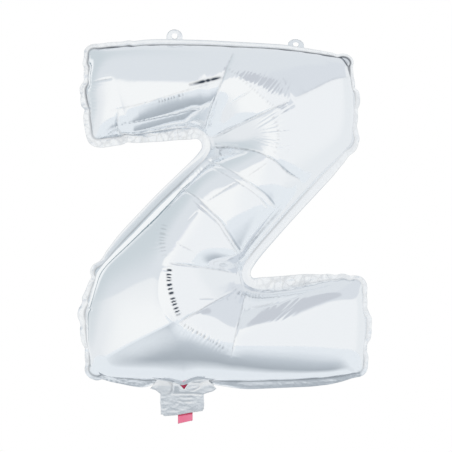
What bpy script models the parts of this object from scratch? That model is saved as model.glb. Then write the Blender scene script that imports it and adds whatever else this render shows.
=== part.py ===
"""Foil letter balloon: an inflated letter Z of two welded films, as separate closed solids.

Metres, +Z up, the letter read from -Y. The origin lies midway between the holes of the two hanging
tabs, in the plane of the weld (y = 0). Lengths below are in millimetres, as X to the right of the
origin and Z above it, and are turned into metres where the meshes are made.
"""
import math
from collections import namedtuple

import bpy
from mathutils import Vector

MM = 0.001
COLLECTION = "foil_letter_balloon"

# Thicknesses. The real film is about 0.05 mm, so the solids are thicker stand-ins for it.
FOIL = 1.0
RIM_HALF = 0.6
TAIL_FILM = 0.6
VALVE_FILM = 0.45
TAB_FILM = 0.6
GAP = 0.3
SHELL_START = RIM_HALF + GAP

# The inflated body is a strip that runs along the letter, from the top bar's free end over the two
# notches to the bottom bar's free end. Each section crosses it from the upper or right hand weld
# (x1, z1) to the lower or left hand weld (x2, z2).
#   crown   height of the film over the weld plane        crest   where the crown is, 0 at weld 1
#   pleat   depth of the crease along this section        bow     how far the section bends back
#   rim1, rim2   width of the flat rim outside each weld
#   cone    how straight the film rises from the notch, 0 round to 1 like a cone
Section = namedtuple("Section", "x1 z1 x2 z2 crown crest pleat bow rim1 rim2 cone")
SECTIONS = [Section(*row) for row in (
    (-148, -10.5, -144, -99.5, 0.0, 0.50, 0.0, 4.0, 4.0, 7.0, 0.0),
    (-140, -9.5, -137, -99.5, 11.0, 0.50, 0.0, 3.0, 5.0, 9.5, 0.0),
    (-128, -8.0, -125, -98.5, 21.0, 0.50, 0.0, 2.0, 5.5, 8.5, 0.0),
    (-110, -7.0, -107, -95.5, 26.5, 0.50, 0.0, 1.0, 6.0, 8.0, 0.0),
    (-77, -6.0, -77, -90.5, 33.0, 0.50, 0.0, 0.0, 6.5, 12.0, 0.0),
    (-32, -6.5, -49, -86.0, 41.0, 0.50, 0.0, 0.0, 6.0, 13.0, 0.3),
    (-1, -8.5, -38, -88.5, 45.0, 0.52, 3.0, 0.0, 6.0, 11.0, 0.6),
    (48, -10.5, -32, -92.0, 47.0, 0.56, 0.0, 0.0, 5.5, 9.0, 0.8),
    (112, -19.5, -28.5, -97.5, 48.0, 0.60, 3.0, 0.0, 3.5, 8.5, 1.0),
    (117, -60.5, -27, -102.5, 50.0, 0.62, 0.0, 0.0, 4.5, 8.5, 1.1),
    (117, -103.5, -26, -108.5, 51.0, 0.62, 0.0, 3.0, 5.0, 8.5, 1.1),
    (88, -132.5, -29, -117.5, 51.0, 0.58, 3.0, 9.0, 9.0, 8.5, 0.9),
    (66, -156.0, -37, -126.0, 49.0, 0.54, 0.0, 6.0, 9.0, 9.0, 0.6),
    (47, -176.5, -46, -134.5, 47.5, 0.52, 2.5, 4.0, 9.0, 9.5, 0.3),
    (28, -198.5, -56, -143.0, 47.0, 0.50, 0.0, 0.0, 9.0, 9.5, 0.2),
    (14, -214.0, -73, -159.5, 47.5, 0.48, 2.5, -4.0, 9.0, 9.0, 0.3),
    (7.5, -223.0, -91, -179.0, 49.0, 0.46, 0.0, -6.0, 8.5, 9.0, 0.6),
    (5, -231.5, -111, -199.0, 52.0, 0.42, 3.0, -9.0, 8.5, 8.5, 0.9),
    (5, -237.5, -141, -232.5, 52.5, 0.38, 0.0, -3.0, 8.5, 4.5, 1.1),
    (6.5, -242.5, -152, -272.5, 52.0, 0.38, 0.0, 0.0, 8.5, 7.0, 1.1),
    (10, -246.5, -147, -334.5, 49.0, 0.40, 3.0, 0.0, 9.0, 4.5, 0.7),
    (15.5, -249.0, -87, -340.5, 47.0, 0.44, 0.0, 0.0, 9.5, 9.5, 0.4),
    (19, -249.5, -60.5, -344.0, 46.5, 0.46, 1.0, 0.0, 10.5, 9.5, 0.3),
    (22.5, -250.0, -43.5, -343.5, 46.0, 0.47, 1.0, 0.0, 11.5, 9.5, 0.2),
    (27, -250.0, -23, -341.5, 45.0, 0.48, 3.0, 0.0, 12.0, 9.5, 0.1),
    (40, -249.0, 8, -341.5, 41.0, 0.50, 0.0, 0.0, 12.0, 9.5, 0.0),
    (66, -245.0, 55, -341.0, 33.0, 0.50, 0.0, 0.0, 10.5, 9.5, 0.0),
    (92, -240.0, 87, -338.5, 26.5, 0.50, 0.0, -1.0, 5.5, 9.0, 0.0),
    (109, -238.0, 105, -336.5, 21.0, 0.50, 0.0, -2.0, 4.5, 8.0, 0.0),
    (118, -239.5, 117, -334.5, 11.0, 0.50, 0.0, -3.0, 4.5, 5.0, 0.0),
    (124, -242.5, 125, -331.5, 0.0, 0.50, 0.0, -4.5, 4.5, 5.0, 0.0),
)]
MIDDLE = 14          # the section across the middle of the diagonal
NECK = (22, 23)      # between these two sections the lower weld is open for the valve
STEPS = 2            # stations from one section to the next
ACROSS = 12          # faces across the strip
ROUNDNESS = 0.7      # exponent of a section's curve on a side of ROUND_SIDE or less
ROUND_SIDE = 74.0    # longer sides, out to the letter's corners, are flatter
CONE_BEND = 1.2      # exponents of the straight rise from a notch
CONE_FLATNESS = 0.95
FAN_REACH = 78.0     # how far the creases run from a notch
RIM_INSIDE = 3.0     # how far the rim reaches in under the foils
MITRE_LIMIT = 1.35   # how much longer than its width the rim may be at a corner

# Hanging tabs, one outline: width and height over the base, hole, and the base's place on the rim.
TAB_WIDTH = 16.0
TAB_HEIGHT = 14.3
TAB_HOLE_RADIUS = 3.2
TAB_HOLE_HEIGHT = 7.5
TAB_ARC_STEPS = 12
Tab = namedtuple("Tab", "node x base_z lean")
TABS = (Tab("hang_tab_left", -59.6, -4.2, 0.0), Tab("hang_tab_right", 59.6, -10.1, 25.0))

# Tail, the flat end of the two films below the neck, and the valve's film between them.
TAIL_LEFT = -76.7
TAIL_RIGHT = -33.3
TAIL_TOP = -346.0
TAIL_BOTTOM_LEFT = -375.5
TAIL_BOTTOM_RIGHT = -370.0
VIEW_NOTCH_X = -53.5         # small notch in the front film's top edge, which shows the valve
VIEW_NOTCH_HALF = 5.5
VIEW_NOTCH_DEPTH = 5.0
VALVE_LEFT = -59.2
VALVE_RIGHT = -44.8
VALVE_TOP = -339.0
VALVE_BOTTOM_LEFT = -384.7
VALVE_BOTTOM_RIGHT = -382.0
VALVE_SPREAD = 0.15          # half of the space between the valve's two films

# Colour and surface: base colour, metallic, roughness.
FINISHES = {
    "silver_foil": ((0.84, 0.86, 0.88), 1.0, 0.12),
    "silver_rim": ((0.88, 0.89, 0.90), 1.0, 0.30),
    "valve_red": ((0.85, 0.16, 0.30), 0.0, 0.35),
}


def clear_scene():
    for scene_object in list(bpy.data.objects):
        bpy.data.objects.remove(scene_object, do_unlink=True)
    collection = bpy.data.collections.new(COLLECTION)
    bpy.context.scene.collection.children.link(collection)
    return collection


def make_material(node, finish):
    colour, metallic, roughness = FINISHES[finish]
    material = bpy.data.materials.new(f"{node}_{finish}")
    material.use_nodes = True
    shader = material.node_tree.nodes["Principled BSDF"]
    shader.inputs["Base Color"].default_value = (*colour, 1.0)
    shader.inputs["Metallic"].default_value = metallic
    shader.inputs["Roughness"].default_value = roughness
    return material


def add_object(collection, node, data, finish):
    data.materials.append(make_material(node, finish))
    piece = bpy.data.objects.new(node, data)
    collection.objects.link(piece)
    return piece


def between(first, second, part):
    """A station part of the way from one section to the next; creases are sharp and bulges broad."""
    mixed = [a + (b - a) * part for a, b in zip(first, second)]
    station = Section(*mixed)
    return station._replace(pleat=first.pleat * (1 - part) ** 2 + second.pleat * part ** 2)


def stations():
    """Every station of the strip, with the index of the section that it starts from."""
    result = []
    for index in range(len(SECTIONS) - 1):
        for step in range(STEPS):
            result.append((index, between(SECTIONS[index], SECTIONS[index + 1], step / STEPS)))
    result.append((len(SECTIONS) - 1, SECTIONS[-1]))
    return result


def section_plan(section, t):
    """The point at t (0 to 1) across a section, in the weld plane."""
    start = Vector((section.x1, section.z1))
    across = Vector((section.x2, section.z2)) - start
    backward = Vector((across.y, -across.x)).normalized()
    return start + across * t + backward * section.bow * 4 * t * (1 - t)


def section_height(index, section, t):
    """The film's height over the weld plane at t across a section."""
    width = math.hypot(section.x2 - section.x1, section.z2 - section.z1)
    side = section.crest if t < section.crest else 1 - section.crest
    offset = (t - section.crest) / side
    flatness = ROUNDNESS * max(1.0, side * width / ROUND_SIDE)
    bend = 2.0
    at_notch = (t > section.crest) == (index < MIDDLE)
    if at_notch:
        flatness += (CONE_FLATNESS - flatness) * section.cone
        bend += (CONE_BEND - bend) * section.cone
    height = section.crown * max(0.0, 1 - abs(offset) ** bend) ** flatness
    from_notch = (1 - t if index < MIDDLE else t) * width
    crease = section.pleat * math.sin(math.pi * min(1.0, from_notch / FAN_REACH))
    return max(0.0, height - crease)


def make_foil(collection, node, side):
    """One film of the inflated body; side is -1 for the front and 1 for the back."""
    rows = stations()
    vertices = []
    for index, station in rows:
        for column in range(ACROSS + 1):
            t = 0.5 - 0.5 * math.cos(math.pi * column / ACROSS)
            plan = section_plan(station, t)
            height = SHELL_START + section_height(index, station, t)
            vertices.append((plan.x * MM, side * height * MM, plan.y * MM))
    faces = []
    columns = ACROSS + 1
    for row in range(len(rows) - 1):
        for column in range(ACROSS):
            corner = row * columns + column
            face = (corner, corner + columns, corner + columns + 1, corner + 1)
            faces.append(face if side > 0 else face[::-1])
    mesh = bpy.data.meshes.new(node)
    mesh.from_pydata(vertices, [], faces)
    mesh.shade_smooth()
    piece = add_object(collection, node, mesh, "silver_foil")
    thickness = piece.modifiers.new("film", "SOLIDIFY")
    thickness.thickness = FOIL * MM
    thickness.offset = 1.0
    return piece


def flat_piece(collection, node, outlines, thickness, y, finish):
    """A flat film of the given outlines (X, Z); the second and later outlines are holes."""
    curve = bpy.data.curves.new(node, "CURVE")
    curve.dimensions = "2D"
    curve.fill_mode = "BOTH"
    curve.extrude = thickness / 2 * MM
    for outline in outlines:
        spline = curve.splines.new("POLY")
        spline.points.add(len(outline) - 1)
        for point, (x, z) in zip(spline.points, outline):
            point.co = (x * MM, z * MM, 0.0, 1.0)
        spline.use_cyclic_u = True
    piece = add_object(collection, node, curve, finish)
    piece.rotation_euler.x = math.radians(90)
    piece.location.y = y * MM
    return piece


def weld_line():
    """Points of the weld with the rim's width, clockwise from the neck's left side to its right."""
    first, last = SECTIONS[0], SECTIONS[-1]
    ends = [0.25, 0.5, 0.75]
    line = [(section.x2, section.z2, section.rim2) for section in SECTIONS[NECK[0]::-1]]
    line += [(*section_plan(first, 1 - t), (first.rim1 + first.rim2) / 2) for t in ends]
    line += [(section.x1, section.z1, section.rim1) for section in SECTIONS]
    line += [(*section_plan(last, t), (last.rim1 + last.rim2) / 2) for t in ends]
    line += [(section.x2, section.z2, section.rim2) for section in SECTIONS[:NECK[1] - 1:-1]]
    return line


def offset_point(line, index, distance):
    """The point of the weld line moved outward, square to the line there."""
    here = Vector(line[index][:2])
    before = here - Vector(line[max(index - 1, 0)][:2])
    after = Vector(line[min(index + 1, len(line) - 1)][:2]) - here
    directions = [leg.normalized() for leg in (before, after) if leg.length > 0]
    along = sum(directions, Vector((0.0, 0.0))).normalized()
    outward = Vector((-along.y, along.x))
    corner = min(MITRE_LIMIT, 1 / along.dot(directions[0]))
    moved = here + outward * distance * corner
    return moved.x, moved.y


def make_rim(collection):
    """The flat welded rim, one open ring that is parted at the neck."""
    line = weld_line()
    outer = [offset_point(line, index, point[2]) for index, point in enumerate(line)]
    inner = [offset_point(line, index, -RIM_INSIDE) for index in range(len(line))]
    return flat_piece(collection, "edge_seam", [outer + inner[::-1]], 2 * RIM_HALF, 0.0, "silver_rim")


def make_tab(collection, tab):
    """A hanging tab with its hole, behind the rim, leaning back from its base by tab.lean."""
    half = TAB_WIDTH / 2
    shoulder = TAB_HEIGHT - half
    top = [(half * math.cos(turn), shoulder + half * math.sin(turn))
           for turn in (math.pi * step / TAB_ARC_STEPS for step in range(TAB_ARC_STEPS + 1))]
    hole = [(TAB_HOLE_RADIUS * math.cos(turn), TAB_HOLE_HEIGHT + TAB_HOLE_RADIUS * math.sin(turn))
            for turn in (math.pi * step / TAB_ARC_STEPS for step in range(2 * TAB_ARC_STEPS))]
    outline = [(-half, 0.0), (half, 0.0)] + top
    piece = flat_piece(collection, tab.node, [outline, hole], TAB_FILM, 0.0, "silver_rim")
    lean = math.radians(tab.lean)
    piece.rotation_euler.x = math.radians(90) - lean
    setback = SHELL_START + TAB_FILM / 2 * math.cos(lean)
    piece.location = (tab.x * MM, setback * MM, tab.base_z * MM)
    return piece


def tail_outline(notched):
    """The tail film's outline; the front one has a notch that shows the valve."""
    top = [(TAIL_LEFT, TAIL_TOP)]
    if notched:
        top += [(VIEW_NOTCH_X - VIEW_NOTCH_HALF, TAIL_TOP),
                (VIEW_NOTCH_X, TAIL_TOP - VIEW_NOTCH_DEPTH),
                (VIEW_NOTCH_X + VIEW_NOTCH_HALF, TAIL_TOP)]
    return top + [(TAIL_RIGHT, TAIL_TOP), (TAIL_RIGHT, TAIL_BOTTOM_RIGHT),
                  (TAIL_LEFT, TAIL_BOTTOM_LEFT)]


def make_tail(collection):
    layer = SHELL_START + TAIL_FILM / 2
    flat_piece(collection, "tail_front", [tail_outline(True)], TAIL_FILM, -layer, "silver_foil")
    flat_piece(collection, "tail_back", [tail_outline(False)], TAIL_FILM, layer, "silver_foil")


def make_valve(collection):
    """The valve's two films, which leave the body through the neck and end below the tail."""
    outline = [(VALVE_LEFT, VALVE_TOP), (VALVE_RIGHT, VALVE_TOP),
               (VALVE_RIGHT, VALVE_BOTTOM_RIGHT), (VALVE_LEFT, VALVE_BOTTOM_LEFT)]
    layer = VALVE_SPREAD + VALVE_FILM / 2
    for node, side in (("valve_film_front", -1), ("valve_film_back", 1)):
        flat_piece(collection, node, [outline], VALVE_FILM, side * layer, "valve_red")


def main():
    collection = clear_scene()
    make_foil(collection, "front_foil", -1)
    make_foil(collection, "back_foil", 1)
    make_rim(collection)
    for tab in TABS:
        make_tab(collection, tab)
    make_tail(collection)
    make_valve(collection)


main()
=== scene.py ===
"""Looks of the foil letter balloon: the two films are blown up as cloth from their flat cut.

Lengths are in millimetres, X to the right of the origin and Z above it, until the meshes are made.
"""
import math
from collections import namedtuple

import bpy
import numpy as np
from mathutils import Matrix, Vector, noise
from mathutils.geometry import delaunay_2d_cdt


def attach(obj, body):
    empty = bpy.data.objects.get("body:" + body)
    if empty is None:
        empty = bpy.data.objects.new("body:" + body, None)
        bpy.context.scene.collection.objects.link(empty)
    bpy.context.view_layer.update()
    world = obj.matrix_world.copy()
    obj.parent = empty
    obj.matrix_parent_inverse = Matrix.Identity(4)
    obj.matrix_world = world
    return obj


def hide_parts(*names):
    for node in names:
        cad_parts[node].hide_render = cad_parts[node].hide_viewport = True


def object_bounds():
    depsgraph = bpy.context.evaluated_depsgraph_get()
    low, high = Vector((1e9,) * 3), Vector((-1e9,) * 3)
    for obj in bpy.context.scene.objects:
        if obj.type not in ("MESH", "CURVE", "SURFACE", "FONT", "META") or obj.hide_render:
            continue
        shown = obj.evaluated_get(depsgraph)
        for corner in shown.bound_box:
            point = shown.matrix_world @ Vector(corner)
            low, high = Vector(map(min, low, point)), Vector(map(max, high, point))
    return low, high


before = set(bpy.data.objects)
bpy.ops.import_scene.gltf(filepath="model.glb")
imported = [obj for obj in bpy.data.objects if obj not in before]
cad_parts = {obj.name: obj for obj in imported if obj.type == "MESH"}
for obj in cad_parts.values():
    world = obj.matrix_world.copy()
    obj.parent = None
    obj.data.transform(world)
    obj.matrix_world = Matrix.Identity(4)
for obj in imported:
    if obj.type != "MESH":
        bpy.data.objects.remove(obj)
cad_bounds = [list(corner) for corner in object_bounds()]

MM = 0.001
SEED = 7
PLAN = [0, 2]  # the axes of the weld's plane
BLOCK = 4000  # points compared with the weld at a time
SAME_POINT = 1e-5  # points nearer than this become one
TINY = 1e-12  # keeps a division by nothing away
WHOLE_HULL, INSIDE_ONLY = 0, 1  # what a triangulation covers
JITTER = 0.06  # unevenness of the points that fill a sheet, and their least distance
CLEAR = 0.6  # from its border, both as shares of their spacing

# The camera looks along +Y; one pixel of the photograph is one millimetre on the weld's plane.
LENS = 80
SENSOR = 36
FRAME_WIDTH = 452
CAMERA_X = -11
CAMERA_Z = -186.5
CAMERA_DISTANCE = FRAME_WIDTH * LENS / SENSOR

# The weld line of the blown up letter, clockwise from the top left corner: its place, the width of
# the rim outside it, how many degrees that rim leans back, how dark the shade painted along the
# weld's line is, how crinkled and how scalloped the rim is, each from 0 to 1, and for a corner of
# the flat cut that corner's place and rounding in the cut.
Weld = namedtuple("Weld", "x z rim lean seam crinkle scallop flat", defaults=(None,))
WELD = [Weld(*row) for row in (
    (-148, -10.5, 4.5, 0, 0.4, 0.8, 0.8, (-138, 224, 6)),
    (-128, -8, 5.5, 0, 0.9, 0.3, 0),
    (-77, -6, 6.5, 0, 0.9, 0.1, 0),
    (-32, -6.5, 6, 0, 0.9, 0.1, 0),
    (48, -10.5, 5.5, 0, 0.9, 0.1, 0),
    (112, -19.5, 3.5, 0, 0.85, 0.5, 0.2, (128, 175, 6)),
    (117, -60.5, 4.5, 0, 0.15, 0.6, 0.8, (139, 130.5, 40)),
    (117, -103.5, 5, 0, 0.15, 0.5, 0.6, (138, 84.5, 14)),
    (88, -132.5, 9, 8, 0.1, 0.1, 0),
    (47, -176.5, 9, 8, 0.3, 0, 0),
    (14, -214, 9, 0, 0.35, 0, 0),
    (7.5, -223, 8.5, 0, 0, 0, 0),
    (4.5, -238, 8.5, 0, 0, 0, 0, (38.5, -73.5, 15)),
    (10, -246.5, 9, 0, 0, 0.1, 0),
    (22.5, -250, 11.5, 0, 0, 0.5, 0),
    (40, -249, 12, 0, 0, 1, 0),
    (66, -245, 10.5, 0, 0.12, 1, 0),
    (92, -240, 5.5, 0, 0.12, 0.8, 0),
    (109, -238, 4.5, 0, 0.12, 0.6, 0.3),
    (124, -242.5, 4.5, 0, 0.12, 0.6, 0.6, (168.5, -124.5, 8)),
    (129, -287, 5, 0, 0.12, 0.5, 1, (161, -174.5, 40)),
    (125, -331.5, 5, 33, 0.3, 0.5, 0.6, (135, -218, 6)),
    (117, -334.5, 5, 33, 0.3, 0.6, 0),
    (87, -338.5, 9, 33, 0.5, 0.6, 0),
    (8, -341.5, 9.5, 33, 0.5, 0.2, 0),
    (-32, -341, 3, 0, 0.5, 0.5, 0),
    (-47, -339.5, 2, 0, 0.5, 0.1, 0),
    (-54, -339, 1, 0, 0.5, 0, 0),
    (-62, -339.5, 2, 0, 0.5, 0.1, 0),
    (-78, -340, 3, 0, 0.5, 0.2, 0),
    (-92, -340.5, 9.5, 30, 0.5, 0.3, 0),
    (-147, -334.5, 4.5, 30, 0.45, 0.8, 0.4, (-139, -189, 6)),
    (-152, -272.5, 7, 0, 0.35, 0.3, 1, (-145, -132.5, 40)),
    (-141, -232.5, 4.5, 14, 0.35, 0.5, 0.3, (-139.5, -76, 14)),
    (-111, -199, 8.5, 24, 0.4, 0, 0),
    (-73, -159.5, 9, 24, 0.4, 0, 0),
    (-46, -134.5, 9.5, 22, 0.4, 0, 0),
    (-29, -117.5, 8.5, 0, 0.05, 0, 0),
    (-26, -108.5, 8.5, 0, 0.05, 0, 0),
    (-27, -102.5, 8.5, 0, 0.05, 0.1, 0, (-35, 80, 15)),
    (-32, -92, 9, 0, 0.05, 0.5, 0),
    (-49, -86, 13, 0, 0.05, 1, 0),
    (-77, -90.5, 12, 0, 0.3, 1, 0),
    (-107, -95.5, 8, 0, 0.3, 1, 0),
    (-137, -99.5, 9.5, 0, 0.3, 0.8, 0.3),
    (-144, -99.5, 7, 0, 0.35, 0.8, 0.6, (-160, 121, 8)),
    (-150, -55, 6, 0, 0.6, 0.6, 1, (-158.5, 174.5, 40)),
)]
LAID_OUT = 7  # the first columns of the table, which are laid out along the weld
SEAM_COLUMN = 2  # the seam's place among the rim's columns

CELL = 4.22  # spacing of the cloth's points
SIM_RIM = 8  # width of the flat rim in the cloth
SIM_RIM_ROWS = 2
FRAMES = 20
CLOTH = {
    "quality": 8, "mass": 0.02, "air_damping": 1.0, "tension_stiffness": 60,
    "compression_stiffness": 60, "shear_stiffness": 30, "bending_stiffness": 0.5,
    "tension_damping": 5, "compression_damping": 5, "shear_damping": 5, "bending_damping": 0.1,
    "use_pressure": True, "uniform_pressure_force": 10.0, "vertex_group_pressure": "pressed"}
CLOTH_SCALE = 0.01  # the cloth is solved ten times as large as life
START_RISE = 0.5  # how far a flat film stands off the weld's plane before it is blown up,
START_REACH = 10  # and the distance from the weld where it does
TARGET_SPREAD = 1.2  # points over which the weld's outline is averaged when it is fitted,
SHIFT_SPREAD = 2  # and over which its moves are
SMOOTHING = 300  # rounds that take the cloth's own small wrinkles out of the panels
SMOOTH_STEPS = (0.5, -0.505)
SMOOTH_FROM = 2  # distance from the weld where that starts
SMOOTH_FULL = 10
DETAIL_ROUNDS = 2  # subdivisions of the cloth's mesh

# Sharp creases, seen by the camera on the weld's plane: depth and reach of the draw on the panels
# beside it, how far the fold itself is pinched in, how dark the shade painted at its bottom is,
# its line, and its half width. A depth below 0 makes a ridge, and a dark above 1 makes the full
# painted shade wider.
Crease = namedtuple("Crease", "depth reach pinch dark line width", defaults=(0.6,))
CREASES = [Crease(*row) for row in (
    (2.2, 7, 0.3, 0.26, ((-33, -91), (-24, -64), (-15.5, -41), (-10, -26), (-4, -13))),
    (2.2, 7, 0.3, 0.22, ((-28, -99.5), (1, -86), (28, -72.5), (50, -62))),
    (0.6, 3, 0.2, 0.1, ((-6, -64), (17, -49))),
    (-1.6, 9, 0, 0, ((-16, -24), (3, -38.5), (17, -50.5), (31, -62.5), (46, -71))),
    (2.4, 8, 0.35, 0.35, ((-32, -108), (-13.5, -106.5), (0.5, -107.5), (17, -111),
     (35, -119.5), (51.5, -133.5), (63, -140))),
    (1.8, 6, 0.3, 0.18, ((-34, -119), (-19, -124), (1, -135.5), (17, -147), (29, -156),
     (39, -168))),
    (0.3, 2, 0.25, 0.15, ((-26, -127), (-9, -136.5), (5, -145), (21, -157), (31, -168))),
    (2.2, 7, 0.35, 0.3, ((7, -217.5), (-0.5, -206.5), (-8.5, -193.5), (-16, -182),
     (-27, -170), (-41, -157), (-56, -148))),
    (0.5, 2, 0.3, 0.22, ((4, -218), (-11.5, -195), (-19, -183.5), (-30, -172.5),
     (-44, -161))),
    (2, 8, 0.3, 0.22, ((-1, -234), (-16, -231.5), (-38, -227.5), (-60, -224.5),
     (-68, -223.5))),
    (2.4, 7, 0.3, 0.28, ((-2, -251), (-23, -262), (-45, -275.5), (-57, -283))),
    (2.4, 7, 0.3, 0.28, ((7.5, -257), (3.5, -275), (0, -291), (-5.5, -317))),
    (0.8, 4, 0, 0.28, ((6, -213), (25, -191.5), (44, -170.5)), 1.3),
    (0.5, 2.5, 0.3, 0.2, ((-60.5, -203), (-44, -212))),
    (0.3, 2, 0.3, 0.12, ((-20, -258), (-38, -259))),
    (1, 4, 0.4, 0.25, ((-153, -268), (-144, -270))),
    (0.4, 3, 0.4, 0.75, ((106, -19), (110, -24), (112.5, -30), (114, -38)), 1.5),
    (0.8, 4, 0.4, 0.3, ((-119, -68), (-120, -85), (-115, -100))),
    (0.5, 4, 0.3, 0.25, ((-145, -43), (-136, -40.5), (-126, -39))),
    (0.3, 3, 0.2, 1.7, ((-48, -45.4), (-34, -42.2), (-17, -37.8)), 1.3),
    (0.5, 3, 0.15, 0.14, ((-127, -71.5), (-87, -61.5), (-52, -51), (-23, -43.5)), 0.8),
    (-3.2, 11, 0, 0, ((-114, -69), (-87, -61.5), (-52, -51), (-29, -45))),
    (1.2, 5, 0.1, 0.1, ((-119, -86), (-77, -77.5), (-38, -69))),
    (-3.6, 7, 0, 0, ((-117, -92), (-77, -85), (-44, -80))),
    (-0.8, 5, 0, 0, ((5, -272), (43.5, -264), (96, -243))),
    (-2.2, 12, 0, 0, ((-143, -324), (-104, -302), (-62, -281))),
    (0.3, 3, 0.15, 0.2, ((-30, -161.5), (-14, -151), (1, -142))),
    (0.3, 3, 0.15, 0.18, ((10, -137), (30, -123.5))),
    (0.3, 3, 0.15, 0.16, ((-50, -183), (-40, -173))),
    (-0.9, 3.5, 0, 0, ((-75, -227), (-78, -245), (-77, -261), (-70, -275), (-60, -284))),
    (-1.4, 10, 0, 0.1, ((56, -60), (77, -49.5), (97, -40), (114, -38)), 1.3),
)]
SHOULDER = (0.4, 2.0, 0.9)  # the ridges beside it: share of its depth, distance and half width
CREASE_START = 14  # length over which a crease sets in,
CREASE_END = 10  # and over which it ends
CREASE_TAPER = 0.6  # a power below 1 makes both of these blunt
CHAIN_REACH = 1.5  # edges this near to a crease may be laid on it
CHAIN_STEP = 0.2  # the least advance of such an edge along the crease
CHAIN_PULL = 0.4  # how far a long advance outweighs the distance from the crease

# Rows of small puckers across a line: wavelength, reach to either side, height, how dark the
# shade painted in their valleys is, where again above 1 is wider, how far to either side that
# goes, and the line.
Pucker = namedtuple("Pucker", "wave reach height dark dash line")
PUCKERS = [Pucker(*row) for row in (
    (3.8, 4, 0.3, 0.12, 1.5, ((-11, -27), (3, -38.5), (17, -50.5), (31, -62.5), (44, -70))),
    (3.8, 11, 0.42, 0, 2, ((-4, -22), (11, -33), (26, -44), (40, -55), (54, -62))),
    (3.8, 18, 1, 0.15, 1.6, ((33, -72.5), (40, -85.5), (41, -100.5), (37, -115.5))),
    (3.6, 3, 0.2, 0.5, 1.2, ((-82, -62.5), (-66, -58), (-50, -53.5))),
    (3.8, 11, 0.3, 0.2, 3, ((-72, -182), (-75, -200), (-73, -217))),
    (4, 5, 0.9, 1.7, 2.4, ((-67.5, -226), (-68, -242), (-64, -260), (-58, -277))),
    (3.8, 6, 0.6, 0.4, 1.6, ((-56, -284), (-33, -297), (-8, -312))),
    (4.6, 4, 0.4, 0, 2, ((-55, -143.5), (-30, -126), (-8, -113))),
    (3.4, 5, 0.2, 0, 2, ((-70, -80), (-55, -76.5), (-37, -72))),
    (3.6, 4, 0.45, 0.2, 2, ((-5, -245), (1, -253), (10, -256.5), (28, -256.5))),
    (5, 5, 0.6, 0.2, 2, ((-38, -92), (-30, -96), (-27, -104))),
    (4.5, 14, 0.45, 0, 2, ((36, -258), (46, -266), (57, -278))),
    (3.2, 5, 0.2, 0, 2, ((-145, -18), (-145, -40), (-146, -60), (-144, -90))),
    (3.2, 6, 0.3, 0, 2, ((-131, -22), (-130, -36))),
)]
PUCKER_ENDS = 6  # length over which a row of puckers sets in and ends
VALLEY_TOP = 0.08  # height in a row below which shade is painted in its valleys,
VALLEY_DEPTH = 0.3  # and how much lower they are fully dark
HELD = 5  # distance from the weld where creases and puckers are at full depth
SEAM_WIDTH = 1.5  # half width of the shade painted along the weld's line
EDGE_SHADE = 0.22  # painted shade along the film's cut edge

# At the neck the film and its weld are drawn down to a point by the valve.
NECK_X = -53
NECK_DROP = 6.5
NECK_LEFT = 30  # how far that reaches to either side
NECK_RIGHT = 14
NECK_FADE = 22  # distance from the weld over which that fades


def rounded_loop(corners, step):
    """Points every step along a polygon with rounded corners; each corner is x, z, radius."""
    dense = []
    count = len(corners)
    for index in range(count):
        before, here, after = (np.array(corners[(index + k) % count][:2]) for k in (-1, 0, 1))
        radius = corners[index][2]
        back = (before - here) / np.linalg.norm(before - here)
        ahead = (after - here) / np.linalg.norm(after - here)
        opening = math.acos(float(np.clip(back @ ahead, -1, 1)))
        reach = radius / math.tan(opening / 2)
        bisector = (back + ahead) / np.linalg.norm(back + ahead)
        centre = here + bisector * radius / math.sin(opening / 2)
        first, last = here + back * reach - centre, here + ahead * reach - centre
        start = math.atan2(first[1], first[0])
        sweep = (math.atan2(last[1], last[0]) - start + math.pi) % (2 * math.pi) - math.pi
        pieces = max(2, int(abs(sweep) * radius / step))
        for piece in range(pieces + 1):
            angle = start + sweep * piece / pieces
            dense.append(centre + radius * np.array([math.cos(angle), math.sin(angle)]))
    loop = np.vstack([dense, dense[:1]])
    lengths = path_lengths(loop)
    places = np.arange(round(lengths[-1] / step)) / round(lengths[-1] / step) * lengths[-1]
    return rows_at(places, lengths, loop)


def unit(values):
    """The values, held between 0 and 1."""
    return np.clip(values, 0, 1)


def path_lengths(path):
    return np.concatenate([[0], np.cumsum(np.linalg.norm(np.diff(path, axis=0), axis=1))])


def rows_at(places, lengths, rows):
    """Rows that lie at these lengths along a path, read off at other places along it."""
    return np.stack([np.interp(places, lengths, column) for column in rows.T], axis=1)


def inside_loop(points, loop):
    x, z = points[:, 0][:, None], points[:, 1][:, None]
    ahead = np.roll(loop, -1, axis=0)
    crosses = (ahead[:, 1] > z) != (loop[:, 1] > z)
    rise = ahead[:, 1] - loop[:, 1] + TINY
    left = x < (ahead[:, 0] - loop[:, 0]) * (z - loop[:, 1]) / rise + loop[:, 0]
    return (crosses & left).sum(axis=1) % 2 == 1


def line_place(points, line, closed=False):
    """Distance of each point to a polyline, and how far along the line its nearest place is."""
    starts = np.asarray(line, float)
    ends = np.roll(starts, -1, axis=0)
    if not closed:
        starts, ends = starts[:-1], ends[:-1]
    legs = ends - starts
    lengths = np.linalg.norm(legs, axis=1)
    part = unit(((points[:, None] - starts) * legs).sum(axis=2) / lengths ** 2)
    distance = np.linalg.norm(points[:, None] - (starts + legs * part[..., None]), axis=2)
    leg = distance.argmin(axis=1)
    rows = np.arange(len(points))
    along = np.concatenate([[0], np.cumsum(lengths)])[leg] + part[rows, leg] * lengths[leg]
    return distance[rows, leg], along


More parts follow.
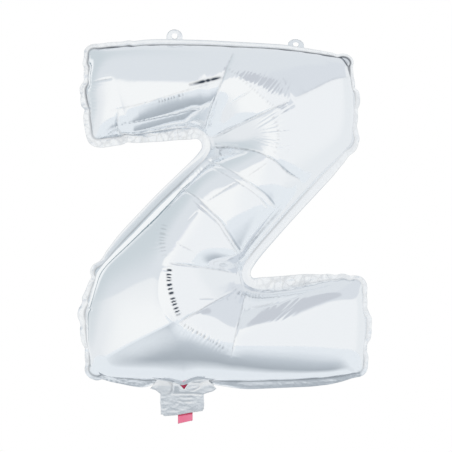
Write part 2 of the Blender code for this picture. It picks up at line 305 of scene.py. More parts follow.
def fill_points(loop, step, random):
    """Nearly even points inside the loop, in staggered rows with a little unevenness."""
    low, high = loop.min(axis=0), loop.max(axis=0)
    rows = []
    for row, z in enumerate(np.arange(low[1], high[1], step * math.sqrt(3) / 2)):
        x = np.arange(low[0], high[0], step) + (step / 2 if row % 2 else 0)
        rows.append(np.stack([x, np.full_like(x, z)], axis=1))
    points = np.concatenate(rows)
    points += random.normal(0, step * JITTER, points.shape)
    points = points[inside_loop(points, loop)]
    return points[line_place(points, loop, closed=True)[0] > step * CLEAR]


def outward_normals(loop):
    """Unit normals of a closed plane loop, pointing out of it."""
    along = np.roll(loop, -1, axis=0) - np.roll(loop, 1, axis=0)
    normals = np.stack([-along[:, 1], along[:, 0]], axis=1)
    normals /= np.linalg.norm(normals, axis=1)[:, None]
    ahead = np.roll(loop, -1, axis=0)
    turned = (loop[:, 0] * ahead[:, 1] - ahead[:, 0] * loop[:, 1]).sum() > 0
    return -normals if turned else normals


def triangulate(loops, filled, covered):
    """Triangles on closed loops and the points between them, all turned the same way round."""
    edges, total = [], 0
    for loop in loops:
        edges += [(total + index, total + (index + 1) % len(loop)) for index in range(len(loop))]
        total += len(loop)
    points = [Vector(point) for point in np.vstack(loops + [filled])]
    plan, _, faces, origins, _, _ = delaunay_2d_cdt(points, edges, [], covered, SAME_POINT)
    plan = np.array([tuple(point) for point in plan])
    faces = np.array([list(face) for face in faces])
    a, b, c = (plan[faces[:, corner]] for corner in range(3))
    one, other = b - a, c - a
    turned = one[:, 0] * other[:, 1] - other[:, 0] * one[:, 1]
    faces[turned < 0] = faces[turned < 0][:, ::-1]
    return plan, faces, origins


def flat_films():
    """The two flat films on one weld line, with the rim outside it, as one mesh."""
    random = np.random.default_rng(SEED)
    weld = rounded_loop([row.flat for row in WELD if row.flat], CELL)
    count = len(weld)
    plan, faces, origins = triangulate([weld], fill_points(weld, CELL, random), INSIDE_ONLY)
    weld_index = {}
    for index, sources in enumerate(origins):
        for source in sources:
            if source < count:
                weld_index[source] = index
    weld_order = np.array([weld_index[index] for index in range(count)])
    rise = START_RISE * np.minimum(1, line_place(plan, weld, closed=True)[0] / START_REACH)
    rise[weld_order] = 0
    vertices = [(x, -lift, z) for (x, z), lift in zip(plan, rise)]
    back = np.arange(len(plan))
    for index in np.setdiff1d(back, weld_order):
        back[index] = len(vertices)
        vertices.append((plan[index][0], rise[index], plan[index][1]))
    rim_faces = []
    previous = weld_order
    rim_start = len(vertices)
    normals = outward_normals(weld)
    for row in range(1, SIM_RIM_ROWS + 1):
        ring = np.arange(len(vertices), len(vertices) + count)
        vertices += [(x, 0.0, z) for x, z in weld + normals * SIM_RIM * row / SIM_RIM_ROWS]
        after, below = np.roll(ring, -1), np.roll(previous, -1)
        rim_faces.append(np.stack([previous, ring, after, previous, after, below], axis=1))
        previous = ring
    rim_faces = np.vstack(rim_faces).reshape(-1, 3)
    return np.array(vertices), faces, back[faces][:, ::-1], rim_faces, rim_start, weld_order


def new_object(name, data):
    piece = bpy.data.objects.new(name, data)
    bpy.context.scene.collection.objects.link(piece)
    return piece


def mesh_object(name, places, faces):
    mesh = bpy.data.meshes.new(name)
    mesh.from_pydata(places.tolist(), [], faces.tolist())
    return new_object(name, mesh)


def blow_up(vertices, faces, rim_start):
    """The films under pressure, solved as cloth: every vertex's place."""
    films = mesh_object("films", vertices * CLOTH_SCALE, faces)
    group = films.vertex_groups.new(name="pressed")
    group.add(range(rim_start), 1.0, "REPLACE")
    cloth = films.modifiers.new("film", "CLOTH")
    for setting, value in CLOTH.items():
        setattr(cloth.settings, setting, value)
    cloth.settings.effector_weights.gravity = 0.0
    cloth.collision_settings.use_collision = False
    cloth.point_cache.frame_start = 1
    cloth.point_cache.frame_end = FRAMES + 1
    for number in range(1, FRAMES + 1):
        bpy.context.scene.frame_set(number)
    shaped = films.evaluated_get(bpy.context.evaluated_depsgraph_get())
    places = np.empty(len(vertices) * 3, np.float32)
    shaped.data.vertices.foreach_get("co", places)
    bpy.data.objects.remove(films)
    bpy.context.scene.frame_set(1)
    return places.reshape(-1, 3).astype(float) / CLOTH_SCALE


def loop_average(values, spread):
    """Values along the closed weld, averaged over neighbours with a bell of that many points."""
    reach = int(3 * spread)
    total = np.zeros_like(values)
    weights = 0.0
    for shift in range(-reach, reach + 1):
        weight = math.exp(-0.5 * (shift / spread) ** 2)
        total += weight * np.roll(values, shift, axis=0)
        weights += weight
    return total / weights


def weld_targets(loop, flat_loop):
    """For each point of the blown up weld, its place on the outline and the rim's shape there."""
    corners = [index for index, row in enumerate(WELD) if row.flat]
    nearest = [int(np.argmin(np.linalg.norm(flat_loop - WELD[index].flat[:2], axis=1)))
               for index in corners]
    count = len(loop)
    targets = np.zeros((count, LAID_OUT))
    for turn, first_row in enumerate(corners):
        last_row = corners[(turn + 1) % len(corners)]
        first, last = nearest[turn], nearest[(turn + 1) % len(corners)]
        ahead = last_row if last_row > first_row else last_row + len(WELD)
        rows = range(first_row, ahead + 1)
        path = np.array([WELD[row % len(WELD)][:LAID_OUT] for row in rows])
        indices = np.arange(first, last if last > first else last + count) % count
        stretch = loop[np.append(indices, last)]
        part = path_lengths(stretch)[:-1] / path_lengths(stretch)[-1]
        lengths = path_lengths(path[:, :2])
        targets[indices] = rows_at(part * lengths[-1], lengths, path)
    return targets


def weld_squares(vertices, flat_loop):
    """Squares of the distances from each vertex to the weld's points in the cut, by blocks."""
    for start in range(0, len(vertices), BLOCK):
        block = slice(start, start + BLOCK)
        yield block, ((vertices[block, None, PLAN] - flat_loop) ** 2).sum(axis=2)


def fit_to_outline(places, vertices, weld_order):
    """Moves the shape so that its weld follows the letter's outline; also the rim's shape."""
    flat_loop = vertices[weld_order][:, PLAN]
    loop = places[weld_order][:, PLAN]
    targets = loop_average(weld_targets(loop, flat_loop), TARGET_SPREAD)
    shift = loop_average(targets[:, :2] - loop, SHIFT_SPREAD)
    result = places.copy()
    for block, apart in weld_squares(vertices, flat_loop):
        weights = 1 / (apart + 1.0) ** 1.5
        result[block, PLAN] += (weights @ shift) / weights.sum(axis=1)[:, None]
    result[weld_order[:, None], PLAN] = loop + shift
    return result, targets[:, 2:]


def edge_list(faces):
    """The mesh's edges, each once, and for every face its three edges."""
    pairs = np.sort(np.concatenate([faces[:, [0, 1]], faces[:, [1, 2]], faces[:, [2, 0]]]), axis=1)
    edges, of_face = np.unique(pairs, axis=0, return_inverse=True)
    return edges, of_face.reshape(3, -1)


def neighbour_sum(values, edges):
    total = np.zeros_like(values)
    np.add.at(total, edges[:, 0], values[edges[:, 1]])
    np.add.at(total, edges[:, 1], values[edges[:, 0]])
    return total


def smooth_panels(places, faces, weight):
    """Takes out small wrinkles and keeps the size: each round smooths and then swells a little."""
    edges, _ = edge_list(faces)
    both = np.concatenate([edges, edges[:, ::-1]])
    both = both[both[:, 0].argsort(kind="stable")]
    joined, starts, count = np.unique(both[:, 0], return_index=True, return_counts=True)
    neighbours = both[:, 1]
    pull = weight[joined, None]
    places = places.copy()
    for _ in range(SMOOTHING):
        for step in SMOOTH_STEPS:
            middles = np.add.reduceat(places[neighbours], starts, axis=0) / count[:, None]
            places[joined] += step * pull * (middles - places[joined])
    return places


def subdivide(values, faces):
    """One round of Loop subdivision of per-vertex values; the border stays a smooth curve."""
    edges, of_face = edge_list(faces)
    border = np.bincount(of_face.ravel(), minlength=len(edges)) == 1
    opposite = np.zeros((len(edges), values.shape[1]))
    for side, corner in enumerate((2, 0, 1)):
        np.add.at(opposite, of_face[side], values[faces[:, corner]])
    ends = values[edges[:, 0]] + values[edges[:, 1]]
    middles = np.where(border[:, None], ends / 2, ends * 3 / 8 + opposite / 8)
    count = neighbour_sum(np.ones(len(values)), edges)
    share = np.where(count > 3, 3 / (8 * np.maximum(count, 1)), 3 / 16)[:, None]
    moved = values * (1 - count[:, None] * share) + share * neighbour_sum(values, edges)
    on_border = np.unique(edges[border])
    along = neighbour_sum(values, edges[border])
    moved[on_border] = values[on_border] * 0.75 + along[on_border] / 8
    ab, bc, ca = of_face + len(values)
    a, b, c = faces.T
    finer = np.concatenate([np.stack(corners, axis=1) for corners in (
        (a, ab, ca), (b, bc, ab), (c, ca, bc), (ab, bc, ca))])
    return np.vstack([moved, middles]), finer


def subdivide_loop(values):
    """The same round on the weld's own points, in their order along it."""
    ahead, behind = np.roll(values, -1, axis=0), np.roll(values, 1, axis=0)
    result = np.empty((2 * len(values), values.shape[1]))
    result[0::2] = values * 0.75 + (ahead + behind) / 8
    result[1::2] = (values + ahead) / 2
    return result


def vertex_normals(places, faces):
    a, b, c = (places[faces[:, corner]] for corner in range(3))
    turned = np.cross(b - a, c - a)
    normals = np.zeros_like(places)
    for corner in range(3):
        np.add.at(normals, faces[:, corner], turned)
    return normals / np.linalg.norm(normals, axis=1)[:, None]


def seen_plan(places):
    """Where the camera sees each point on the weld's plane; the back film is seen from behind."""
    nearer = CAMERA_DISTANCE / (CAMERA_DISTANCE - np.abs(places[:, 1]))
    x = CAMERA_X + (places[:, 0] - CAMERA_X) * nearer
    z = CAMERA_Z + (places[:, 2] - CAMERA_Z) * nearer
    return np.stack([x, z], axis=1)


def ripple(along, wave, random):
    """Rounded lobes with sharp valleys between them, uneven in width and height."""
    first, second, third = random.uniform(0, 2 * math.pi, 3)
    phase = along / wave
    phase = phase + 0.25 * np.sin(phase * 0.9 + first) + 0.15 * np.sin(phase * 2.1 + second)
    height = 0.7 + 0.3 * np.sin(phase * 1.7 + third)
    return (np.abs(np.sin(math.pi * phase)) ** 0.8 - 0.66) * height


def smooth_line(line):
    """A smooth curve through the line's points, about a millimetre a point."""
    corners = np.array(line, float)
    ends = np.vstack([2 * corners[0] - corners[1], corners, 2 * corners[-1] - corners[-2]])
    curve = []
    for before, here, after, beyond in zip(ends, ends[1:], ends[2:], ends[3:]):
        for part in np.arange(0, 1, 1 / max(1, round(np.linalg.norm(after - here)))):
            bend = 2 * before - 5 * here + 4 * after - beyond
            turn = 3 * here - before - 3 * after + beyond
            curve.append(here + 0.5 * part * (after - before + part * (bend + part * turn)))
    return np.vstack([curve, corners[-1:]])


def beside_line(plan, corners, reach):
    """The smooth line, the points near it, and their distances from it and places along it."""
    line = smooth_line(corners)
    inside = (plan > line.min(axis=0) - reach) & (plan < line.max(axis=0) + reach)
    near = np.flatnonzero(inside.all(axis=1))
    return line, near, *line_place(plan[near], line)


def lay_on_creases(plan, faces):
    """How far points are moved so that each crease runs along an unbroken chain of edges."""
    shift = np.zeros_like(plan)
    edges, _ = edge_list(faces)
    for crease in CREASES:
        line, near, near_distance, near_along = beside_line(plan, crease.line, CHAIN_REACH)
        if crease.depth < 0 or len(near) == 0:
            continue
        distance, along = np.full(len(plan), np.inf), np.zeros(len(plan))
        distance[near], along[near] = near_distance, near_along
        neighbours = {}
        for one, other in edges[(distance[edges] < CHAIN_REACH).all(axis=1)].tolist():
            neighbours.setdefault(one, []).append(other)
            neighbours.setdefault(other, []).append(one)
        here = min(neighbours, key=lambda index: distance[index] + along[index])
        chain = []
        while here is not None:
            chain.append(here)
            start = along[here]
            ahead = [index for index in neighbours[here] if along[index] > start + CHAIN_STEP]
            cost = {index: distance[index] ** 2 - CHAIN_PULL * (along[index] - start)
                    for index in ahead}
            here = min(ahead, key=cost.get) if ahead else None
        shift[chain] = rows_at(along[chain], path_lengths(line), line) - plan[chain]
    return shift


def crease_depth(plan, creases):
    """How far the creases press each point in, and the shade painted at their bottoms."""
    depth, dark = np.zeros(len(plan)), np.zeros(len(plan))
    share, beside, wide = SHOULDER
    for crease in creases:
        line, near, distance, along = beside_line(plan, crease.line, 4 * crease.reach)
        length = path_lengths(line)[-1]
        grown = unit(along / CREASE_START) ** CREASE_TAPER
        taper = grown * unit((length - along) / CREASE_END + 0.15) ** CREASE_TAPER
        bell = np.exp(-(distance / crease.width) ** 2)
        fold = bell - share * np.exp(-((distance - beside) / wide) ** 2)
        draw = crease.depth * np.exp(-distance / crease.reach)
        depth[near] += taper * (draw + crease.pinch * fold)
        # painted shade along the crease's bottom, uneven along it
        uneven = 0.75 + 0.25 * np.sin(along * 0.7 + 2 * np.sin(along * 0.31 + length))
        dark[near] = np.maximum(dark[near], crease.dark * taper * bell * uneven)
    return depth, dark


def pucker_height(plan, random):
    """Height of the puckers at each point, and the shade painted in their valleys there."""
    height, dark = np.zeros(len(plan)), np.zeros(len(plan))
    for pucker in PUCKERS:
        line, near, distance, along = beside_line(plan, pucker.line, 3 * pucker.reach)
        length = path_lengths(line)[-1]
        ends = unit(along / PUCKER_ENDS) * unit((length - along) / PUCKER_ENDS)
        lobes = ripple(along, pucker.wave, random)
        height[near] += pucker.height * np.exp(-(distance / pucker.reach) ** 2) * ends * lobes
        # painted shade in the puckers' valleys
        valley = unit((VALLEY_TOP - lobes) / VALLEY_DEPTH)
        bell = np.exp(-(distance / pucker.dash) ** 4) * ends
        dark[near] = np.maximum(dark[near], pucker.dark * bell * valley)
    return height, dark


def neck_drop(places, weld_distance):
    """How far the neck draws each point down."""
    half = np.where(places[:, 0] < NECK_X, NECK_LEFT, NECK_RIGHT)
    beside = unit(1 - np.abs(places[:, 0] - NECK_X) / half) ** 1.3
    near_neck = places[:, 2] < CAMERA_Z
    return NECK_DROP * beside * np.exp(-(weld_distance / NECK_FADE) ** 2) * near_neck


def detail_film(places, faces, weld_distance, seam, random):
    """Subdivides one film and presses the creases and puckers into it."""
    values = np.column_stack([places, weld_distance, seam])
    for _ in range(DETAIL_ROUNDS):
        values, faces = subdivide(values, faces)
    places, weld_distance, seam = values[:, :3].copy(), values[:, 3], values[:, 4]
    places[:, 2] -= neck_drop(places, weld_distance)
    held = unit(weld_distance / HELD)
    held = held * held * (3 - 2 * held)
    places[:, PLAN] += lay_on_creases(seen_plan(places), faces) * held[:, None]
    normals = vertex_normals(places, faces)
    plan = seen_plan(places)
    height, valley_shade = pucker_height(plan, random)
    depth, crease_shade = crease_depth(plan, CREASES)
    # painted shade at the creases' bottoms and in the puckers' valleys
    dark = np.maximum(valley_shade, crease_shade) * held
    # painted shade along the weld's line
    dark = np.maximum(dark, seam * np.exp(-(weld_distance / SEAM_WIDTH) ** 2))
    return places + normals * ((height - depth) * held)[:, None], faces, dark


def mesh_piece(name, places, faces, dark=None):
    """A smooth mesh from places in millimetres; dark is each point's share of painted shade."""
    piece = mesh_object(name, places * MM, faces)
    piece.data.shade_smooth()
    if dark is not None:
        # the painted shade goes into the mesh attribute named fold
        tone = piece.data.attributes.new("fold", "FLOAT", "POINT")
        tone.data.foreach_set("value", dark.astype(np.float32))
    return piece


def part_mesh(places, faces, *others):
    """Only the vertices that these faces use."""
    used, renumbered = np.unique(faces, return_inverse=True)
    return (places[used], renumbered.reshape(faces.shape), *(other[used] for other in others))


RIM_ROWS = 10
RIM_LIFT = 2.2  # how far a scallop's outer edge wanders out of the weld's plane
RIM_CRUMPLE = 2.2  # how much a crinkled stretch is crumpled too
RIM_FACET = 7.5  # size of the crumpled facets
RIM_FOLD_SHADE = 0.18  # how dark the shade painted in the folds between them is
RIM_FOLD = 1.6  # a soft fold along the rim of the straight sides
RIM_WAVES = (21.0, 5.2, 2.4)  # lengths of the scallops, the crinkles and the finest crinkles
SCALLOP_WIDTH = 0.35  # share of the rim's width that the scallops add
CRINKLE_LIFT = 0.8  # height of the crinkles, and of the finest ones
FINE_LIFT = 0.35
RIM_SPREAD = 6  # points of the weld over which the rim's direction is averaged
RIM_PATTERN = 5  # the place in the crumpled pattern that the rim shows


def rim_mesh(weld, shape, random):
    """The welded rim outside the weld: rows of points, crinkled, on the weld's own points."""
    for _ in range(DETAIL_ROUNDS):
        joined = subdivide_loop(np.column_stack([weld, shape]))
        weld, shape = joined[:, :3], joined[:, 3:]
    weld = weld - np.outer(neck_drop(weld, np.zeros(len(weld))), (0, 0, 1))
    width, lean, seam, crinkle, scallop = shape.T
    normals = outward_normals(loop_average(weld[:, PLAN], RIM_SPREAD))
    along = path_lengths(np.vstack([weld, weld[:1]]))[:-1]
    broad, narrow, fine = (ripple(along, wave, random) for wave in RIM_WAVES)
    # the rim's first row carries the painted shade along the weld's line
    rows, dark = [weld], [seam]
    for row in range(1, RIM_ROWS + 1):
        part = row / RIM_ROWS
        arch = math.sin(math.pi * part)
        out = width * (1 + SCALLOP_WIDTH * scallop * broad) * part
        lift = RIM_LIFT * scallop * broad * part ** 1.5 + out * np.tan(np.radians(lean))
        lift += crinkle * (CRINKLE_LIFT * narrow * part + FINE_LIFT * fine * arch)
        plan = weld[:, PLAN] + normals * out[:, None]
        lift += crinkle * arch * crumple(plan, RIM_CRUMPLE, RIM_PATTERN)
        lift += RIM_FOLD * (1 - crinkle) * np.minimum(1, width / 6) * arch * part
        rows.append(weld + np.stack([normals[:, 0] * out, lift, normals[:, 1] * out], axis=1))
        # painted shade in the folds of the crinkled rim, and along the weld's line next to it
        folds = RIM_FOLD_SHADE * crinkle * fold_lines(plan, RIM_FACET)
        dark.append(np.maximum(seam * unit(1.3 - out / SEAM_WIDTH), folds))
    # painted shade along the rim's cut edge
    dark[RIM_ROWS] = np.full(len(weld), EDGE_SHADE)
    low = np.arange(len(weld))
    after = np.roll(low, -1)
    ring = np.stack([low, after, after + len(weld), low + len(weld)], axis=1)
    faces = np.vstack([ring + row * len(weld) for row in range(RIM_ROWS)])
    return np.vstack(rows), faces, np.concatenate(dark)


# The flat pieces, cut from film: outlines in the weld's plane and how far they lie from it.
SHEET_CELL = 0.9
SHEET_FILM = 0.3  # thickness that a sheet is given
TAB_WIDTH = 16
TAB_HEIGHT = 14.3
TAB_HOLE_RADIUS = 3
TAB_HOLE_HEIGHT = 7.5
HOLE_CLEAR = 0.5  # least distance of the tab's points from the hole
TAB_ROOT = -3  # its lower end, behind the rim
TAB_BEHIND = 1.3
TAB_BEND = 0.6  # how far it bends from side to side
TAB_CRUMPLE = 0.25
Tab = namedtuple("Tab", "name node x base lean curl")
TABS = (Tab("left_tab", "hang_tab_left", -62.5, -3.6, 4.0, 1.0),
        Tab("right_tab", "hang_tab_right", 59.2, -10.6, 28.0, 1.6))
TAIL_LEFT = -76.7
TAIL_RIGHT = -33.3
TAIL_FRONT = ((-78, -337.5), (-58.5, -342.5), (-56.9, -344.8), (-52.9, -349.8), (-49.6, -344.8),
              (-48, -342), (-31, -338), (-20.5, -348.8), (-24, -351.5),
              (TAIL_RIGHT, -354.5), (TAIL_RIGHT + 0.4, -366),
              (TAIL_RIGHT - 1.2, -372), (-47, -374), (-60, -376.5), (-73, -377.5),
              (TAIL_LEFT + 1, -375), (TAIL_LEFT - 0.3, -364), (TAIL_LEFT, -354.5),
              (-81, -350.5), (-86.5, -348.8))
TAIL_BACK = ((-84, -343.5), (-22, -343.5), (-26, -352), (TAIL_RIGHT, -354.5),
             (TAIL_RIGHT, -371), (-60, -375.5), (TAIL_LEFT, -376.5), (TAIL_LEFT, -354.5),
             (-82, -349))
TAIL_APART = 1.6  # each tail sheet's distance from the weld's plane
TAIL_CRUMPLE = 0.8
TAIL_PATTERN = 3  # the place in the crumpled pattern, turned negative for the front sheet
TAIL_LEAN = math.tan(math.radians(12))  # the tail hangs slightly backward below TAIL_LEAN_FROM
TAIL_LEAN_FROM = -346
TAIL_TILT = math.tan(math.radians(14))  # how much more the hollow beside the valve leans back
# Crumpled film: the sizes and depths of its facets, how much wider than high they are, the level
# from which their depth counts, and the width of the painted shade lines between the rim's, as a
# share.
CRUMPLES = ((7.0, 0.7), (3.0, 0.35), (1.4, 0.14))
CRUMPLE_WIDE = 1.8
CRUMPLE_LEVEL = 0.4
FOLD_WIDTH = 0.13
# The folds of the tail's front sheet beside the valve, and the one where it leaves the neck.
TAIL_CREASES = [Crease(*row) for row in (
    (0.5, 2.5, 0.5, 0.45, ((-75, -340.5), (-67, -342), (-64.5, -347), (-65, -354)), 0.7),
    (0.4, 2, 0.4, 0.4, ((-48, -342.8), (-40, -343.2), (-32, -342))),
    (0.4, 2, 0.4, 0.35, ((-48, -346.5), (-41, -346), (-35, -343.5))),
    (0.4, 2, 0.4, 0.45, ((-49, -351.5), (-42, -350), (-36, -345.5))),
    (0.4, 2.5, 0.3, 0.2, ((-66, -354.5), (-50, -354), (-34, -355))),
    (0.15, 1, 0.2, 0.25, ((-61, -361.5), (-52, -362.4), (-43, -362))),
    (0.1, 1, 0.2, 0.2, ((-59, -357.8), (-50, -358.3), (-44, -357.6))),
    (0.15, 1, 0.15, 0.12, ((-74, -358), (-66, -358.8))),
    (0.15, 1, 0.15, 0.12, ((-43, -357), (-35, -358))),
)]
TAIL_SHADE = (-61.5, -347.5, 3.6, 5.5)  # a hollow left of the valve: centre, half width and height
MARK_PLACE = (-72.0, -348.0)  # a round mark pressed into the tail's front sheet
MARK_RADIUS = 6.8
MARK_DEPTH = 0.1
MARK_RING = 0.9  # half width of the mark's ring
MARK_EDGE = 3  # distance outside it where the crumples are full again
MARK_CALM = 0.6  # how much of them it presses flat
# a faint darkening over the mark and just around it
MARK_DARK = 0.06
MARK_RING_SHADE = 0.25  # painted shade on the ring's right side
VALVE_LEFT = -59.3
VALVE_RIGHT = -44.6
VALVE_TOP = -344
VALVE_BOTTOM_LEFT = -385.1
VALVE_BOTTOM_RIGHT = -382
VALVE_APART = 0.6
VALVE_CURL = 3  # how far the tongue's lower end bends forward
VALVE_CURL_FROM = -372
VALVE_SHADE_LEFT = -378.3  # the tail's sheet shades the valve down to here on either side
VALVE_SHADE_RIGHT = -376
VALVE_SHADE_EDGE = 1.2  # height over which that shade fades out
VALVE_WAVE = 0.25  # how far the tongue's end waves forward and back


def sheet_points(outline, step):
    """Points every step along a closed outline of straight sides, with every corner kept."""
    points = []
    corners = np.array(outline, float)
    for start, end in zip(corners, np.roll(corners, -1, axis=0)):
        pieces = max(1, round(np.linalg.norm(end - start) / step))
        points += [start + (end - start) * piece / pieces for piece in range(pieces)]
    return np.array(points)


def sheet_mesh(outline, hole=None):
    """A finely divided flat sheet in the weld's plane, with or without a hole."""
    border = sheet_points(outline, SHEET_CELL)
    filled = fill_points(border, SHEET_CELL, np.random.default_rng(SEED))
    loops = [border]
    if hole is not None:
        inner = sheet_points(hole, SHEET_CELL)
        clear = line_place(filled, inner, closed=True)[0] > HOLE_CLEAR
        filled = filled[~inside_loop(filled, inner) & clear]
        loops.append(inner)
    plan, faces, _ = triangulate(loops, filled, WHOLE_HULL)
    middles = plan[faces].mean(axis=1)
    keep = inside_loop(middles, border)
    if hole is not None:
        keep &= ~inside_loop(middles, inner)
    return plan, faces[keep]


def sheet_piece(name, plan, depth, faces, material, slot, node, dark=None):
    """A thin sheet with its place in depth given for each of its points."""
    piece = mesh_piece(name, np.column_stack([plan[:, 0], depth, plan[:, 1]]), faces, dark)
    film = piece.modifiers.new("film", "SOLIDIFY")
    film.thickness = SHEET_FILM * MM
    film.offset = 0.0
    finish_piece(piece, material, slot, node)


def crumple(plan, amount, shift):
    """Depth of crumpled film: flat facets that meet in sharp folds, in several sizes."""
    depth = np.zeros(len(plan))
    for size, height in CRUMPLES:
        for index, (x, z) in enumerate(plan):
            distances, _ = noise.voronoi((x / size / CRUMPLE_WIDE + shift, z / size, shift))
            depth[index] += amount * height * (distances[1] - distances[0] - CRUMPLE_LEVEL)
    return depth


def fold_lines(plan, size):
    """Sharp fold lines of crumpled film, 1 on a line and 0 beside it."""
    lines = np.zeros(len(plan))
    for index, (x, z) in enumerate(plan):
        distances, _ = noise.voronoi((x / size, z / size, RIM_PATTERN))
        lines[index] = math.exp(-((distances[1] - distances[0]) / FOLD_WIDTH) ** 2)
    return lines


def make_tabs(material):
    half = TAB_WIDTH / 2
    shoulder = TAB_HEIGHT - half
    turns = [math.pi * step / 24 for step in range(25)]
    top = [(half * math.cos(turn), shoulder + half * math.sin(turn)) for turn in turns]
    hole = [(TAB_HOLE_RADIUS * math.cos(2 * turn),
             TAB_HOLE_HEIGHT + TAB_HOLE_RADIUS * math.sin(2 * turn)) for turn in turns[:-1]]
    for tab in TABS:
        plan, faces = sheet_mesh([(-half, TAB_ROOT), (half, TAB_ROOT)] + top, hole)
        x, z = plan.T
        height = np.maximum(z, 0)
        lean = math.radians(tab.lean)
        back = height * math.sin(lean) + tab.curl * (height / TAB_HEIGHT) ** 2
        back += TAB_BEND * np.sin(x / half * 2.2 + 0.5) * height / TAB_HEIGHT
        back += crumple(plan, TAB_CRUMPLE, tab.x)
        up = np.where(z > 0, z * math.cos(lean), z)
        place = np.column_stack([x + tab.x, up + tab.base])
        sheet_piece(tab.name, place, back + TAB_BEHIND, faces, material, "silver_rim", tab.node)


def make_tail(material):
    """The flat end of the two films below the neck, crumpled, with a round mark in its front."""
    for name, node, outline, side in (("tail_sheet_front", "tail_front", TAIL_FRONT, -1),
                                      ("tail_sheet_back", "tail_back", TAIL_BACK, 1)):
        plan, faces = sheet_mesh(outline)
        x, z = plan.T
        depth = side * TAIL_APART + crumple(plan, TAIL_CRUMPLE, TAIL_PATTERN * side)
        sheet_dark = np.zeros(len(plan))
        if side < 0:
            from_mark = np.linalg.norm(plan - MARK_PLACE, axis=1)
            calm = unit((from_mark - MARK_RADIUS) / MARK_EDGE)
            ring = np.exp(-((from_mark - MARK_RADIUS) / MARK_RING) ** 2)
            depth += MARK_CALM * (side * TAIL_APART - depth) * (1 - calm) - MARK_DEPTH * ring
            fold, sheet_dark = crease_depth(plan, TAIL_CREASES)
            depth += fold
            centre_x, centre_z, wide, high = TAIL_SHADE
            hollow = np.exp(-((x - centre_x) / wide) ** 4 - ((z - centre_z) / high) ** 4)
            depth -= TAIL_TILT * hollow * np.maximum(z - (centre_z - high), 0)
            # Painted shade at the creases' bottoms and on the right side of the mark's ring; the
            # mark is also faintly darker.
            right = unit((x - MARK_PLACE[0]) / MARK_RADIUS)
            mark_dark = MARK_RING_SHADE * ring * right + MARK_DARK * (1 - calm)
            sheet_dark = np.maximum(sheet_dark, mark_dark)
        depth += TAIL_LEAN * np.maximum(TAIL_LEAN_FROM - z, 0)
        sheet_piece(name, plan, depth, faces, material, "silver_foil", node, sheet_dark)


def make_valve(material):
    """The valve's two films, which come out below the tail as one short tongue."""
    outline = ((VALVE_LEFT, VALVE_TOP), (VALVE_RIGHT, VALVE_TOP),
               (VALVE_RIGHT, VALVE_BOTTOM_RIGHT), (VALVE_LEFT, VALVE_BOTTOM_LEFT))
    for name, node, side in (("valve_front", "valve_film_front", -1),
                             ("valve_back", "valve_film_back", 1)):
        plan, faces = sheet_mesh(outline)
        x, z = plan.T
        below = np.maximum(VALVE_CURL_FROM - z, 0) / (VALVE_CURL_FROM - VALVE_BOTTOM_LEFT)
        depth = side * VALVE_APART - VALVE_CURL * below ** 2
        depth += TAIL_LEAN * np.maximum(TAIL_LEAN_FROM - z, 0)
        depth += VALVE_WAVE * np.sin(x * 0.5 + 1.0) * below
        across = (x - VALVE_LEFT) / (VALVE_RIGHT - VALVE_LEFT)
        shade_end = VALVE_SHADE_LEFT + across * (VALVE_SHADE_RIGHT - VALVE_SHADE_LEFT)
        # painted shadow: darker where the tail's sheet shades the valve
        dark = unit((z - shade_end) / VALVE_SHADE_EDGE)
        sheet_piece(name, plan, depth, faces, material, "valve_red", node, dark)


PAINTED_SHADE_COLOUR = (0.04, 0.055, 0.08)  # the painted shade's darkest colour
VALVE_SHADE = (0.62, 0.02, 0.09)  # colour of the tail's shadow painted on the valve
VALVE_REDS = ((1.0, 0.16, 0.30), (1.0, 0.30, 0.44))  # the two ends of its cloudy colour


def new_material(name, roughness):
    """A material, its node tree and its shader."""
    material = bpy.data.materials.new(name)
    material.use_nodes = True
    shader = material.node_tree.nodes["Principled BSDF"]
    shader.inputs["Roughness"].default_value = roughness
    return material, material.node_tree, shader


def add_node(tree, kind, inputs=None, **settings):
    """A new node with these settings and these values on its inputs."""
    node = tree.nodes.new(kind)
    for setting, value in settings.items():
        setattr(node, setting, value)
    for name, value in (inputs or {}).items():
        node.inputs[name].default_value = value
    return node


def join(tree, *joints):
    """Links nodes; each joint is a node and its output, then a node and its input."""
    for source, output, target, entry in joints:
        tree.links.new(source.outputs[output], target.inputs[entry])


def foil_material(name, colour, roughness, grain_scale, grain_depth):
    """Metallised film: mirror-like, with a faint unevenness that bends its reflections."""
    material, tree, shader = new_material(name, roughness)
    shader.inputs["Metallic"].default_value = 1.0
    # Painted shade: the fold attribute darkens the film toward a near-black colour.
    fold = add_node(tree, "ShaderNodeAttribute", attribute_name="fold")
    tint = add_node(tree, "ShaderNodeMix", {"A": (*colour, 1), "B": (*PAINTED_SHADE_COLOUR, 1)},
                    data_type="RGBA")
    place = add_node(tree, "ShaderNodeTexCoord")
    grain = add_node(tree, "ShaderNodeTexNoise", {"Scale": grain_scale, "Detail": 3.0})
    bump = add_node(tree, "ShaderNodeBump", {"Strength": 1.0, "Distance": grain_depth})
    join(tree, (fold, "Fac", tint, "Factor"), (tint, "Result", shader, "Base Color"),
         (place, "Object", grain, "Vector"), (grain, "Fac", bump, "Height"),
         (bump, "Normal", shader, "Normal"))
    return material


